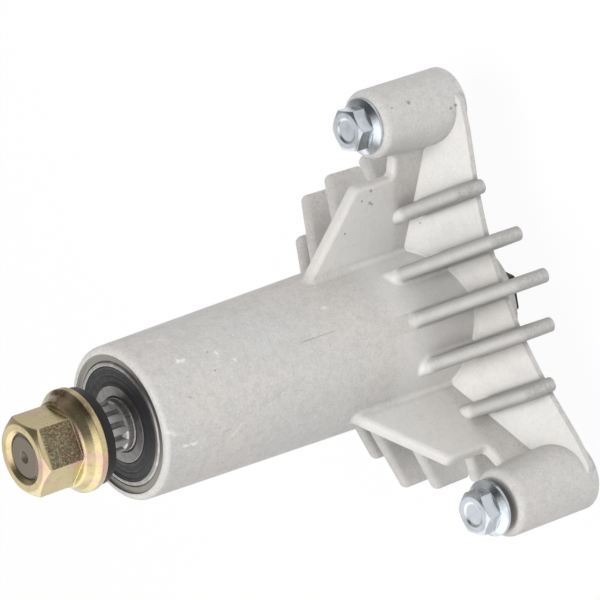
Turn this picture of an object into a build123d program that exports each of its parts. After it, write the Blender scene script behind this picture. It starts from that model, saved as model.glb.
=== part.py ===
# Mower deck spindle: a die-cast housing with a three-sided ribbed base, a splined shaft on two sealed ball
# bearings, a hex flange nut with its washer, and three flange bolts that clamp the housing to the deck.
#
# Millimetres. The origin is on the shaft's axis, in the plane of the three boss faces that the deck sheet lies on.
# +Z runs up the tube toward the nut. One side of the base faces -Y; the bosses lie at -30, 90 and 210 degrees.
import os
from math import cos, radians, sin, sqrt, tan

from build123d import *

# Fits, all radial or end clearances
press_fit = 0.01
bolt_clearance = 0.05
thread_clearance = 0.05
washer_clearance = 0.25
seal_gap = 0.3
pocket_gap = 0.18

# Sealed ball bearing, 17 x 40 x 12
bearing_bore = 17.0
bearing_od = 40.0
bearing_width = 12.0
ball_count = 8
ball_d = 6.747
groove_conformity = 1.03
inner_land_gap = 2.05
outer_land_gap = 2.35
ring_lip_w = 1.6
seal_seat_depth = 1.7
seal_recess = 0.35
seal_t = 1.1
ring_chamfer = 0.6
cage_t = 2.1
cage_h = 7.9

# Housing tube and hub
bosses = 3
tube_top = 100.0
tube_wall = 4.49
tube_flare = 3.5
tube_rim_r = 1.8
base_drop = 31.5
hub_wall = 2.99
hub_draft = 0.7
hub_drop = 17.0
bearing_sink = 0.2
mouth_step_w = 2.1
mouth_step_h = 0.5
hub_chamfer = 1.2
hub_bearing_sink = 1.0
bore_shoulder = 2.6

# Bosses and their webs
boss_circle_d = 146.5
boss_top_d = 22.4
boss_base_d = 24.3
boss_pad_drop = 2.0
boss_rim_r = 2.6
web_t = 4.6
web_high_r = 28.1
web_high_z = 24.6
web_low_r = 53.9
web_low_z = 5.1
web_nose_r = 3.0
web_foot_z = -10.6
web_foot_r = 2.0
web_crest_w = 1.4
web_blend_r = 2.0
rib_blend_r = 1.2

# Floor panel of one side: the lip stands straight, and the panel climbs from it to the tube and the webs
lip_h = 2.0
lip_w = 3.0
floor_t = 3.2
# distance across from the side's centre line, height above the base where the panel meets the tube or the web,
# outward distance of the lip
floor_stations = [
    (0.0, 5.7, 38.7),
    (15.35, 10.6, 39.3),
    (24.2, 17.5, 40.7),
    (33.7, 14.3, 42.7),
    (52.0, 8.4, 48.2),
    (62.0, 6.0, 50.2),
    (68.0, 4.5, 46.5),
]

# Ribs of one side: distance across, height above the base at the root, outward distance of the tip
rib_t = 4.8
rib_tip_h = 13.6
rib_crest_w = 0.3
rib_rows = [
    (-33.7, 21.9, 46.0),
    (-15.35, 31.3, 55.2),
    (0.0, 32.3, 60.4),
    (15.35, 31.3, 55.2),
    (33.7, 21.9, 46.0),
]
rib_root_in = 5.0

# Shaft
spline_relief = 0.3
spline_depth = 1.05
spline_teeth = 12
spline_groove_w = 2.5
spline_groove_floor_w = 0.9
spline_start = 2.2
spline_runout = 1.9
thread_d = 14.29
shaft_end_recess = 0.8
shaft_end_chamfer = 0.9
centre_hole_d = 4.0
centre_hole_depth = 3.6
collar_inset = 0.4
collar_drop = 5.0
star_drop = 10.0
star_points = 5
star_tip_d = 19.6
star_root_d = 15.4
star_round_r = 1.0
blade_thread_d = 8.5
blade_thread_depth = 26.0

# Washer and nut, stacked above the pulley's place
pulley_room = 12.2
washer_d = 30.8
washer_t = 3.4
nut_af = 22.225
nut_h = 20.2
nut_flange_d = 32.6
nut_rim_h = 2.4
nut_collar_top_d = 26.2
nut_collar_foot_d = 29.6
nut_collar_foot_h = 3.8
nut_collar_h = 6.8
nut_chamfer_drop = 1.6
nut_mouth_chamfer = 1.3

# Deck bolts, 5/16 inch hex flange
bolt_d = 7.94
bolt_len = 25.4
bolt_af = 12.7
bolt_head_h = 7.6
bolt_flange_d = 18.4
bolt_flange_edge = 1.0
bolt_flange_h = 2.4
bolt_hex_foot_d = 14.2
bolt_chamfer_drop = 1.0
bolt_dish_d = 8.4
bolt_dish_h = 0.4
bolt_tip_taper = 2.5
bolt_proud = 3.0
boss_mouth_chamfer = 0.8

# Derived sizes
seat_r = bearing_od / 2 + press_fit
bore_r = seat_r - bore_shoulder
journal_r = bearing_bore / 2 - press_fit
ball_pitch_d = (bearing_bore + bearing_od) / 2
inner_land_d = ball_pitch_d - 2 * inner_land_gap
outer_land_d = ball_pitch_d + 2 * outer_land_gap
seal_seat_d = bearing_od - 2 * ring_lip_w
tube_top_d = 2 * (seat_r + tube_wall)
tube_base_d = tube_top_d + 2 * tube_flare
hub_d = 2 * (seat_r + hub_wall)
hub_bottom_d = hub_d - 2 * hub_draft
spline_d = bearing_bore - 2 * spline_relief
spline_root_d = spline_d - 2 * spline_depth
collar_d = inner_land_d - 2 * collar_inset
rib_edge_r = (rib_t - rib_crest_w) / 2
web_edge_r = (web_t - web_crest_w) / 2

# Derived places
base_z = -base_drop
hub_z = base_z - hub_drop
upper_face_z = tube_top - bearing_sink
upper_mid_z = upper_face_z - bearing_width / 2
lower_face_z = hub_z + hub_bearing_sink
lower_mid_z = lower_face_z + bearing_width / 2
boss_r = boss_circle_d / 2
boss_angles = [-30.0, 210.0, 90.0]
washer_z = upper_face_z + pulley_room
nut_z = washer_z + washer_t
nut_top_z = nut_z + nut_h
shaft_top_z = nut_top_z - shaft_end_recess
collar_z = lower_face_z - collar_drop
star_z = collar_z - star_drop
thread_z = nut_z - 0.5
bolt_hole_r = bolt_d / 2 + bolt_clearance

os.makedirs("parts", exist_ok=True)


def tube_distance(across):
    """Outward distance of the tube's foot at a distance across one side, or 0 beside the tube."""
    return sqrt(max((tube_base_d / 2) ** 2 - across**2, 0))


def on_tube(edge):
    """Whether an edge lies on the tube's tapered outside."""
    taper = (tube_base_d - tube_top_d) / 2 / (tube_top - base_z)
    points = [edge @ 0, edge @ 0.5, edge @ 1]
    return all(abs(sqrt(p.X**2 + p.Y**2) - tube_base_d / 2 + taper * (p.Z - base_z)) < 0.02 for p in points)


def on_boss(edge):
    """Whether an edge lies on the tapered outside of one of the bosses."""
    taper = (boss_base_d - boss_top_d) / 2 / (base_drop + boss_pad_drop)
    middle = edge @ 0.5
    away = min(
        sqrt((middle.X - boss_r * cos(radians(a))) ** 2 + (middle.Y - boss_r * sin(radians(a))) ** 2)
        for a in boss_angles
    )
    return abs(away - boss_top_d / 2 + taper * middle.Z) < 0.02


def climb(edge):
    """How far an edge rises."""
    return abs((edge @ 1).Z - (edge @ 0).Z)


def root_distance(across):
    """Outward distance of the tube's foot or of the web's middle plane, whichever is met first."""
    return max(tube_distance(across), abs(across) / tan(radians(180 / bosses)))


# One side of the base, facing -Y: the floor panel that climbs from its lip to the tube and the webs
with BuildPart() as side:
    for across, rise, lip in [(-a, h, w) for a, h, w in reversed(floor_stations[1:])] + floor_stations:
        root = root_distance(across)
        with BuildSketch(Plane.YZ.offset(across)):
            with BuildLine():
                Polyline(
                    (-root, base_z + rise),
                    (-lip, base_z + lip_h),
                    (-lip, base_z),
                    (-lip + lip_w, base_z),
                    (-root, base_z + rise - floor_t),
                    close=True,
                )
            make_face()
    loft(ruled=True)

# Its five parallel ribs, with rounded tops and tips
rib_parts = []
for across, rise, tip in rib_rows:
    root = root_distance(across)
    slope = (rise - rib_tip_h) / (tip - root)
    sunk = rib_root_in if tube_distance(across) == root else 0
    with BuildPart() as rib:
        with BuildSketch(Plane.YZ.offset(across)):
            with BuildLine():
                Polyline(
                    (-tip, base_z),
                    (-tip, base_z + rib_tip_h),
                    (-root + sunk, base_z + rise + slope * sunk),
                    (-root + sunk, base_z),
                    close=True,
                )
            make_face()
        extrude(amount=rib_t / 2, both=True)
        hidden_edges = rib.faces().sort_by(Axis.Y)[-1].edges() + rib.faces().sort_by(Axis.Z)[0].edges()
        fillet(rib.edges().filter_by(lambda e: e not in hidden_edges), radius=rib_edge_r)
    rib_parts.append(rib.part)

# One boss with its web, on the +Y axis
with BuildPart() as arm:
    web_slope = (web_high_z - web_low_z) / (web_low_r - web_high_r)
    with BuildSketch(Plane.YZ):
        with BuildLine():
            Polyline(
                (bore_r + bore_shoulder, base_z),
                (bore_r + bore_shoulder, web_high_z + web_slope * (web_high_r - bore_r - bore_shoulder)),
                (web_low_r, web_low_z),
                (web_low_r, web_foot_z),
                (boss_r, web_foot_z - 1.6),
                (boss_r, base_z),
                close=True,
            )
        make_face()
        fillet(vertices().sort_by_distance((web_low_r, web_low_z))[0], radius=web_nose_r)
        fillet(vertices().sort_by_distance((web_low_r, web_foot_z))[0], radius=web_foot_r)
    extrude(amount=web_t / 2, both=True)
    # the web's free edges are rounded; its foot and its two ends are buried
    buried_faces = [arm.faces().sort_by(Axis.Z)[0], arm.faces().sort_by(Axis.Y)[0], arm.faces().sort_by(Axis.Y)[-1]]
    buried_edges = [e for face in buried_faces for e in face.edges()]
    fillet(
        arm.edges().filter_by(Plane.YZ).filter_by(lambda e: e not in buried_edges),
        radius=web_edge_r,
    )

with BuildPart() as boss:
    with BuildSketch(Plane.YZ):
        with BuildLine():
            Polyline(
                (boss_r, base_z - boss_pad_drop),
                (boss_r, 0),
                (boss_r + boss_top_d / 2, 0),
                (boss_r + boss_base_d / 2, base_z - boss_pad_drop),
                close=True,
            )
        make_face()
    revolve(axis=Axis((0, boss_r, 0), (0, 0, 1)))
    fillet(boss.faces().sort_by(Axis.Z)[-1].outer_wire().edges(), radius=boss_rim_r)

with BuildPart() as housing:
    with BuildSketch(Plane.XZ):
        with BuildLine():
            Polyline(
                (0, hub_z),
                (hub_bottom_d / 2, hub_z),
                (hub_d / 2, base_z),
                (tube_base_d / 2, base_z),
                (tube_top_d / 2, tube_top),
                (0, tube_top),
                close=True,
            )
        make_face()
    revolve(axis=Axis.Z)
    fillet(housing.faces().sort_by(Axis.Z)[-1].edges(), radius=tube_rim_r)
    with PolarLocations(0, bosses):
        add(side.part)
        for rib_part in rib_parts:
            add(rib_part)
        add(arm.part)
        add(boss.part)
    # blends where the webs leave the tube and the bosses, and where the ribs leave the tube
    fillet(
        [e for e in housing.edges() if on_tube(e) and web_high_z < max((e @ 0).Z, (e @ 1).Z) < tube_top / 2],
        radius=web_blend_r,
    )
    fillet(
        [
            e
            for e in housing.edges().filter_by(GeomType.LINE, reverse=True)
            if on_boss(e)
            and e.length > web_nose_r
            and base_z + rib_tip_h / 2 < (e @ 0.5).Z < web_low_z - web_nose_r - boss_rim_r - 4
        ],
        radius=web_blend_r,
    )
    fillet(
        [e for e in housing.edges() if on_tube(e) and (e @ 0.5).Z < 0 and climb(e) > rib_tip_h],
        radius=rib_blend_r,
    )
    # bearing seats with their shoulders, and the bore between them
    with BuildSketch(Plane.XZ):
        with BuildLine():
            Polyline(
                (0, hub_z - 1),
                (seat_r + hub_chamfer + 1, hub_z - 1),
                (seat_r, hub_z + hub_chamfer),
                (seat_r, lower_face_z + bearing_width),
                (bore_r, lower_face_z + bearing_width),
                (bore_r, upper_face_z - bearing_width),
                (seat_r, upper_face_z - bearing_width),
                (seat_r, tube_top - mouth_step_h),
                (seat_r + mouth_step_w, tube_top - mouth_step_h),
                (seat_r + mouth_step_w, tube_top + 1),
                (0, tube_top + 1),
                close=True,
            )
        make_face()
    revolve(axis=Axis.Z, mode=Mode.SUBTRACT)
    # bolt holes
    with BuildSketch(Plane.XY):
        with PolarLocations(boss_r, bosses, start_angle=90):
            Circle(bolt_hole_r)
    extrude(amount=-base_drop - boss_pad_drop, mode=Mode.SUBTRACT)
    chamfer(
        housing.edges().filter_by(GeomType.CIRCLE).filter_by(lambda e: abs(e.radius - bolt_hole_r) < 0.01)
        .filter_by(lambda e: abs(e.center().Z) < 0.01),
        length=boss_mouth_chamfer,
    )
housing.part.label = "housing"
export_step(housing.part, "parts/housing.step")


# One groove between two spline teeth, with the sloping run-out that the cutter leaves
with BuildPart() as spline_groove:
    groove_z = upper_face_z + spline_start + spline_runout
    groove_over = 0.4
    with BuildSketch(Plane.XY.offset(groove_z)):
        Polygon(
            (spline_root_d / 2, -spline_groove_floor_w / 2),
            (spline_d / 2 + groove_over, -spline_groove_w / 2),
            (spline_d / 2 + groove_over, spline_groove_w / 2),
            (spline_root_d / 2, spline_groove_floor_w / 2),
            align=None,
        )
    extrude(amount=thread_z + 1 - groove_z)
    with BuildSketch(Plane.XY.offset(groove_z)):
        Polygon(
            (spline_root_d / 2, -spline_groove_floor_w / 2),
            (spline_d / 2 + groove_over, -spline_groove_w / 2),
            (spline_d / 2 + groove_over, spline_groove_w / 2),
            (spline_root_d / 2, spline_groove_floor_w / 2),
            align=None,
        )
    with BuildSketch(Plane.XY.offset(groove_z - spline_runout)):
        Polygon(
            (spline_d / 2, -spline_groove_w * 0.7),
            (spline_d / 2 + groove_over, -spline_groove_w * 0.75),
            (spline_d / 2 + groove_over, spline_groove_w * 0.75),
            (spline_d / 2, spline_groove_w * 0.7),
            align=None,
        )
    loft(ruled=True)

with BuildPart() as spindle_shaft:
    with BuildSketch(Plane.XZ):
        with BuildLine():
            Polyline(
                (0, collar_z),
                (collar_d / 2, collar_z),
                (collar_d / 2, lower_face_z),
                (journal_r, lower_face_z),
                (journal_r, lower_face_z + bearing_width),
                (spline_d / 2, lower_face_z + bearing_width + 1),
                (spline_d / 2, upper_face_z - bearing_width - 1),
                (journal_r, upper_face_z - bearing_width),
                (journal_r, upper_face_z),
                (spline_d / 2, upper_face_z + 0.3),
                (spline_d / 2, thread_z - 0.9),
                (thread_d / 2, thread_z),
                (thread_d / 2, shaft_top_z - shaft_end_chamfer),
                (thread_d / 2 - shaft_end_chamfer, shaft_top_z),
                (0, shaft_top_z),
                close=True,
            )
        make_face()
    revolve(axis=Axis.Z)
    # star-shaped blade end
    with BuildSketch(Plane.XY.offset(star_z)):
        with BuildLine():
            Polyline(
                *[
                    (
                        (star_tip_d if k % 2 == 0 else star_root_d) / 2 * cos(radians(180 * k / star_points)),
                        (star_tip_d if k % 2 == 0 else star_root_d) / 2 * sin(radians(180 * k / star_points)),
                    )
                    for k in range(2 * star_points)
                ],
                close=True,
            )
        make_face()
        fillet(vertices(), radius=star_round_r)
    extrude(amount=star_drop)
    with PolarLocations(0, spline_teeth, start_angle=90):
        add(spline_groove.part, mode=Mode.SUBTRACT)
    # tapped hole for the blade bolt, and the centre drilling in the nut end
    with Locations(Plane((0, 0, star_z), z_dir=(0, 0, -1))):
        Hole(blade_thread_d / 2, depth=blade_thread_depth)
    with Locations(Plane((0, 0, shaft_top_z))):
        CounterSinkHole(centre_hole_d / 4, centre_hole_d / 2, depth=centre_hole_depth, counter_sink_angle=60)
spindle_shaft.part.label = "spindle_shaft"
export_step(spindle_shaft.part, "parts/spindle_shaft.step")


with BuildPart() as nut_washer:
    with BuildSketch(Plane.XY.offset(washer_z)):
        Circle(washer_d / 2)
        Circle(spline_d / 2 + washer_clearance, mode=Mode.SUBTRACT)
    extrude(amount=washer_t)
    fillet(nut_washer.faces().sort_by(Axis.Z)[-1].outer_wire().edges(), radius=0.5)
    fillet(nut_washer.faces().sort_by(Axis.Z)[0].outer_wire().edges(), radius=0.5)
nut_washer.part.label = "nut_washer"
export_step(nut_washer.part, "parts/nut_washer.step")

with BuildPart() as spindle_nut:
    with BuildSketch(Plane.XY.offset(nut_z)):
        RegularPolygon(nut_af / 2, 6, major_radius=False)
    extrude(amount=nut_h)
    # the corners are turned off at the top
    nut_corner_r = nut_af / sqrt(3)
    with BuildSketch(Plane.XZ):
        with BuildLine():
            Polyline(
                (0, nut_z),
                (nut_corner_r + 1, nut_z),
                (nut_corner_r + 1, nut_top_z - nut_chamfer_drop - 0.5),
                (nut_af / 2 - 0.6, nut_top_z),
                (0, nut_top_z),
                close=True,
            )
        make_face()
    revolve(axis=Axis.Z, mode=Mode.INTERSECT)
    with BuildSketch(Plane.XZ):
        with BuildLine():
            Polyline(
                (0, nut_z),
                (nut_flange_d / 2 - 0.5, nut_z),
                (nut_flange_d / 2, nut_z + 0.5),
                (nut_flange_d / 2, nut_z + nut_rim_h),
                (nut_collar_foot_d / 2, nut_z + nut_collar_foot_h),
                (nut_collar_top_d / 2 + 0.4, nut_z + nut_collar_h - 0.5),
                (nut_collar_top_d / 2 - 0.3, nut_z + nut_collar_h),
                (0, nut_z + nut_collar_h),
                close=True,
            )
        make_face()
    revolve(axis=Axis.Z)
    # threaded bore with a countersunk mouth
    with BuildSketch(Plane.XZ):
        with BuildLine():
            Polyline(
                (0, nut_z - 1),
                (thread_d / 2 + thread_clearance, nut_z - 1),
                (thread_d / 2 + thread_clearance, nut_top_z - nut_mouth_chamfer),
                (thread_d / 2 + nut_mouth_chamfer + 1, nut_top_z + 1),
                (0, nut_top_z + 1),
                close=True,
            )
        make_face()
    revolve(axis=Axis.Z, mode=Mode.SUBTRACT)
spindle_nut.part.label = "spindle_nut"
export_step(spindle_nut.part, "parts/spindle_nut.step")


# The same bearing sits in the tube's end and in the hub
for place, mid_z in (("upper", upper_mid_z), ("lower", lower_mid_z)):
    half = bearing_width / 2
    groove_r = ball_d / 2 * groove_conformity
    pitch_r = ball_pitch_d / 2

    with BuildPart() as outer_ring:
        with BuildSketch(Plane.XZ):
            with BuildLine():
                Polyline(
                    (outer_land_d / 2, mid_z - half + seal_seat_depth),
                    (seal_seat_d / 2, mid_z - half + seal_seat_depth),
                    (seal_seat_d / 2, mid_z - half),
                    (bearing_od / 2 - ring_chamfer, mid_z - half),
                    (bearing_od / 2, mid_z - half + ring_chamfer),
                    (bearing_od / 2, mid_z + half - ring_chamfer),
                    (bearing_od / 2 - ring_chamfer, mid_z + half),
                    (seal_seat_d / 2, mid_z + half),
                    (seal_seat_d / 2, mid_z + half - seal_seat_depth),
                    (outer_land_d / 2, mid_z + half - seal_seat_depth),
                    close=True,
                )
            make_face()
            with Locations((pitch_r, mid_z)):
                Circle(groove_r, mode=Mode.SUBTRACT)
        revolve(axis=Axis.Z)
    outer_ring.part.label = place + "_outer_ring"
    export_step(outer_ring.part, "parts/" + place + "_outer_ring.step")

    with BuildPart() as inner_ring:
        with BuildSketch(Plane.XZ):
            with BuildLine():
                Polyline(
                    (bearing_bore / 2, mid_z - half + ring_chamfer),
                    (bearing_bore / 2 + ring_chamfer, mid_z - half),
                    (inner_land_d / 2, mid_z - half),
                    (inner_land_d / 2, mid_z + half),
                    (bearing_bore / 2 + ring_chamfer, mid_z + half),
                    (bearing_bore / 2, mid_z + half - ring_chamfer),
                    close=True,
                )
            make_face()
            with Locations((pitch_r, mid_z)):
                Circle(groove_r, mode=Mode.SUBTRACT)
        revolve(axis=Axis.Z)
    inner_ring.part.label = place + "_inner_ring"
    export_step(inner_ring.part, "parts/" + place + "_inner_ring.step")

    with BuildPart() as balls:
        with Locations(Plane((0, 0, mid_z))):
            with PolarLocations(pitch_r, ball_count):
                Sphere(ball_d / 2)
    balls.part.label = place + "_balls"
    export_step(balls.part, "parts/" + place + "_balls.step")

    with BuildPart() as cage:
        with BuildSketch(Plane.XY.offset(mid_z - cage_h / 2)):
            Circle(pitch_r + cage_t / 2)
            Circle(pitch_r - cage_t / 2, mode=Mode.SUBTRACT)
        extrude(amount=cage_h)
        with Locations(Plane((0, 0, mid_z))):
            with PolarLocations(pitch_r, ball_count):
                Cylinder(ball_d / 2 + pocket_gap, 3 * cage_t, rotation=(0, 90, 0), mode=Mode.SUBTRACT)
    cage.part.label = place + "_cage"
    export_step(cage.part, "parts/" + place + "_cage.step")

    # the seal that faces out of the housing, and the one that faces in
    out_sign = 1 if place == "upper" else -1
    for name, face_sign in (("outer_seal", out_sign), ("inner_seal", -out_sign)):
        with BuildPart() as seal:
            with BuildSketch(Plane.XZ):
                with Locations((0, mid_z + face_sign * (half - seal_recess - seal_t / 2))):
                    with Locations(((inner_land_d / 2 + seal_gap + seal_seat_d / 2 - press_fit) / 2, 0)):
                        Rectangle(seal_seat_d / 2 - press_fit - inner_land_d / 2 - seal_gap, seal_t)
            revolve(axis=Axis.Z)
        seal.part.label = place + "_" + name
        export_step(seal.part, "parts/" + place + "_" + name + ".step")

with BuildPart() as bearing_spacer:
    with BuildSketch(Plane.XY.offset(lower_face_z + bearing_width)):
        Circle(inner_land_d / 2 - 1.2)
        Circle(bearing_bore / 2 + press_fit, mode=Mode.SUBTRACT)
    extrude(amount=upper_face_z - lower_face_z - 2 * bearing_width)
bearing_spacer.part.label = "bearing_spacer"
export_step(bearing_spacer.part, "parts/bearing_spacer.step")


# Each bolt stands in its boss; the second has been left standing a little proud of its seat
for name, angle, lift in (
    ("deck_bolt_a", boss_angles[0], 0.0),
    ("deck_bolt_b", boss_angles[1], bolt_proud),
    ("deck_bolt_c", boss_angles[2], 0.0),
):
    spot = Plane((boss_r * cos(radians(angle)), boss_r * sin(radians(angle)), lift))
    axis = Axis(spot.origin, (0, 0, 1))
    cut = Plane(spot.origin, x_dir=(1, 0, 0), z_dir=(0, -1, 0))
    with BuildPart() as bolt:
        with BuildSketch(spot):
            RegularPolygon(bolt_af / 2, 6, major_radius=False, rotation=10)
        extrude(amount=bolt_head_h)
        with BuildSketch(cut):
            with BuildLine():
                Polyline(
                    (0, 0),
                    (bolt_af, 0),
                    (bolt_af, bolt_head_h - bolt_chamfer_drop - 2.0),
                    (bolt_af / 2 - 0.5, bolt_head_h),
                    (0, bolt_head_h),
                    close=True,
                )
            make_face()
        revolve(axis=axis, mode=Mode.INTERSECT)
        with BuildSketch(cut):
            with BuildLine():
                Polyline(
                    (0, -bolt_len),
                    (bolt_d / 2 - bolt_tip_taper / 3, -bolt_len),
                    (bolt_d / 2, -bolt_len + bolt_tip_taper),
                    (bolt_d / 2, 0),
                    (bolt_flange_d / 2, 0),
                    (bolt_flange_d / 2, bolt_flange_edge),
                    (bolt_hex_foot_d / 2, bolt_flange_h),
                    (0, bolt_flange_h),
                    close=True,
                )
            make_face()
        revolve(axis=axis)
        with BuildSketch(cut):
            with BuildLine():
                Polyline(
                    (0, bolt_head_h - bolt_dish_h),
                    (bolt_dish_d / 2 - 0.8, bolt_head_h - bolt_dish_h),
                    (bolt_dish_d / 2, bolt_head_h),
                    (0, bolt_head_h),
                    close=True,
                )
            make_face()
        revolve(axis=axis, mode=Mode.SUBTRACT)
    bolt.part.label = name
    export_step(bolt.part, "parts/" + name + ".step")
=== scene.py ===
from math import cos, pi, radians, sin

import bpy
from bpy.props import FloatProperty, FloatVectorProperty, IntProperty, PointerProperty
from bpy.types import Operator, Panel, PropertyGroup
from mathutils import Matrix, Vector


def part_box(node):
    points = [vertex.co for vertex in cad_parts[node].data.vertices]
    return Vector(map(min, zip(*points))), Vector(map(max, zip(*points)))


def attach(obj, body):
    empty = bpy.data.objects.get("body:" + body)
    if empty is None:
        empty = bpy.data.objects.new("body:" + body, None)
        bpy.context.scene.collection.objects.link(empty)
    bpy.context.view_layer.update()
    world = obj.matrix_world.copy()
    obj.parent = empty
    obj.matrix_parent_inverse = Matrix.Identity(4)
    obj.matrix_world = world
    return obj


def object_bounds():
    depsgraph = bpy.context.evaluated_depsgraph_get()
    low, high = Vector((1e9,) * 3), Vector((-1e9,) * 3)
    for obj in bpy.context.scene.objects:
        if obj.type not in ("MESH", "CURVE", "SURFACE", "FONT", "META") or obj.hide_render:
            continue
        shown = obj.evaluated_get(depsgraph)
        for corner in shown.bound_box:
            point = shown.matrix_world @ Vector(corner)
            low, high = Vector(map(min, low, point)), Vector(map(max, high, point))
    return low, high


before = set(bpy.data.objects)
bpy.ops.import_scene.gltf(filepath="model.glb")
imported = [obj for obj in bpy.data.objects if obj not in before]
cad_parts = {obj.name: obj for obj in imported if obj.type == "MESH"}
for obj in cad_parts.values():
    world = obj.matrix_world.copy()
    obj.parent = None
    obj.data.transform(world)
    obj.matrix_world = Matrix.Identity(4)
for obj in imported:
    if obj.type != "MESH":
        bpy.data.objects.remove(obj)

bl_info = {
    "name": "Mower deck spindle",
    "version": (1, 0, 0),
    "blender": (4, 5, 0),
    "location": "View3D > Sidebar > Spindle",
    "description": "Finishes and small details of a mower deck spindle, with its studio",
    "category": "Object",
}

MM = 0.001
PER_MM = 1000.0
CAD_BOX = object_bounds()

# The studio: the photograph's camera, the lamps' places from the middle of the object, and what the metal mirrors
CAMERA_RIGHT = Vector((-0.33094066, -0.55613678, -0.76235829))
CAMERA_UP = Vector((0.94339491, -0.2138264, -0.25354352))
CAMERA_FORWARD = Vector((0.02200745, 0.80311279, -0.59542046))
CAMERA_PLACE = (-0.000185, -0.683634, 0.526218)
SENSOR_WIDTH = 36.0
KEY_LAMP_PLACE, KEY_LAMP_SIZE = (0.10, -0.45, 1.15), 0.7
FILL_LAMP_PLACE, FILL_LAMP_SIZE = (-0.55, -1.25, 0.75), 1.2
MIRRORED_LAMP = Vector((-0.60, -0.20, 0.77)).normalized()
MIRRORED_LAMP_STRENGTH = 1.5
PAPER_WHITE = (0.90, 0.90, 0.90, 1)
PAPER_GLOW = 0.95
WHITE = (1, 1, 1, 1)

# Places that the CAD nodes give, in metres for the meshes and in millimetres for the finishes
upper_seal_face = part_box("upper_outer_seal")[1].z
lower_seal_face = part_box("lower_outer_seal")[0].z
seal_outer_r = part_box("upper_outer_seal")[1].x
shaft_top_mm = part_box("spindle_shaft")[1].z * PER_MM
shaft_foot_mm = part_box("spindle_shaft")[0].z * PER_MM
nut_foot_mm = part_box("spindle_nut")[0].z * PER_MM
nut_top_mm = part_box("spindle_nut")[1].z * PER_MM
hub_foot_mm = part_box("housing")[0].z * PER_MM


class SpindleSealSizes(PropertyGroup):
    """Sizes of the moulded seal details"""

    lip_width: FloatProperty(
        name="Lip width", description="Width of the soft lip beside the inner ring",
        default=1.15 * MM, min=0.4 * MM, max=2.0 * MM, unit="LENGTH", precision=5,
    )
    lip_height: FloatProperty(
        name="Lip height", description="How far the lip stands out of the seal's face",
        default=0.26 * MM, min=0.05 * MM, max=0.34 * MM, unit="LENGTH", precision=5,
    )
    bead_width: FloatProperty(
        name="Bead width", description="Width of the bead that snaps into the outer ring",
        default=1.0 * MM, min=0.3 * MM, max=1.6 * MM, unit="LENGTH", precision=5,
    )
    bead_height: FloatProperty(
        name="Bead height", description="How far the bead stands out of the seal's face",
        default=0.2 * MM, min=0.05 * MM, max=0.34 * MM, unit="LENGTH", precision=5,
    )
    segments: IntProperty(
        name="Segments", description="Steps round each ring", default=128, min=32, max=256,
    )


class SpindleColours(PropertyGroup):
    """Colours of the finishes"""

    casting: FloatVectorProperty(
        name="Casting", description="Die-cast aluminium skin", subtype="COLOR",
        default=(0.60, 0.59, 0.572), min=0.0, max=1.0, size=3,
    )
    casting_machined: FloatVectorProperty(
        name="Machined casting", description="Turned step and faces of the casting", subtype="COLOR",
        default=(0.29, 0.276, 0.25), min=0.0, max=1.0, size=3,
    )
    shaft: FloatVectorProperty(
        name="Shaft", description="Machined shaft steel", subtype="COLOR",
        default=(0.40, 0.385, 0.38), min=0.0, max=1.0, size=3,
    )
    yellow_zinc: FloatVectorProperty(
        name="Yellow zinc", description="Yellow zinc plating of the nut", subtype="COLOR",
        default=(0.60, 0.49, 0.26), min=0.0, max=1.0, size=3,
    )
    bright_zinc: FloatVectorProperty(
        name="Bright zinc", description="Bright zinc plating of the bolts", subtype="COLOR",
        default=(0.56, 0.595, 0.635), min=0.0, max=1.0, size=3,
    )
    black_steel: FloatVectorProperty(
        name="Black steel", description="Black oxide on the washer and the blade end", subtype="COLOR",
        default=(0.021, 0.020, 0.020), min=0.0, max=1.0, size=3,
    )
    ring_steel: FloatVectorProperty(
        name="Ring steel", description="Ground bearing steel", subtype="COLOR",
        default=(0.42, 0.405, 0.39), min=0.0, max=1.0, size=3,
    )
    rubber: FloatVectorProperty(
        name="Seal rubber", description="Seal rubber", subtype="COLOR",
        default=(0.016, 0.016, 0.018), min=0.0, max=1.0, size=3,
    )


class SpindleStudio(PropertyGroup):
    """Camera, lamps and floor"""

    lens: FloatProperty(
        name="Lens", description="Focal length in millimetres, on a 36 mm sensor",
        default=158.085, min=20.0, max=400.0,
    )
    key_power: FloatProperty(
        name="Key lamp", description="Power of the large lamp at the nut's side",
        default=13.0, min=0.0, max=200.0, unit="POWER",
    )
    fill_power: FloatProperty(
        name="Fill lamp", description="Power of the soft lamp by the camera",
        default=2.2, min=0.0, max=200.0, unit="POWER",
    )
    room_light: FloatProperty(
        name="Room light", description="Light from all round, less of it along X", default=0.48, min=0.0, max=2.0,
    )
    floor_size: FloatProperty(
        name="Floor size", description="Width of the floor", default=9.0, min=1.0, max=40.0, unit="LENGTH",
    )


def deselect():
    if bpy.context.object and bpy.context.object.mode != "OBJECT":
        bpy.ops.object.mode_set(mode="OBJECT")
    bpy.ops.object.select_all(action="DESELECT")


def start_ring(name, radius, height, segments):
    """An open circle, at its place, left in edit mode with all of it selected."""
    deselect()
    bpy.ops.mesh.primitive_circle_add(
        vertices=segments, radius=radius, fill_type="NOTHING", location=(0, 0, height))
    ring = bpy.context.object
    ring.name = ring.data.name = name
    bpy.ops.object.transform_apply(location=True, rotation=True, scale=True)
    bpy.ops.object.mode_set(mode="EDIT")
    bpy.ops.mesh.select_all(action="SELECT")
    return ring


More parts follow.
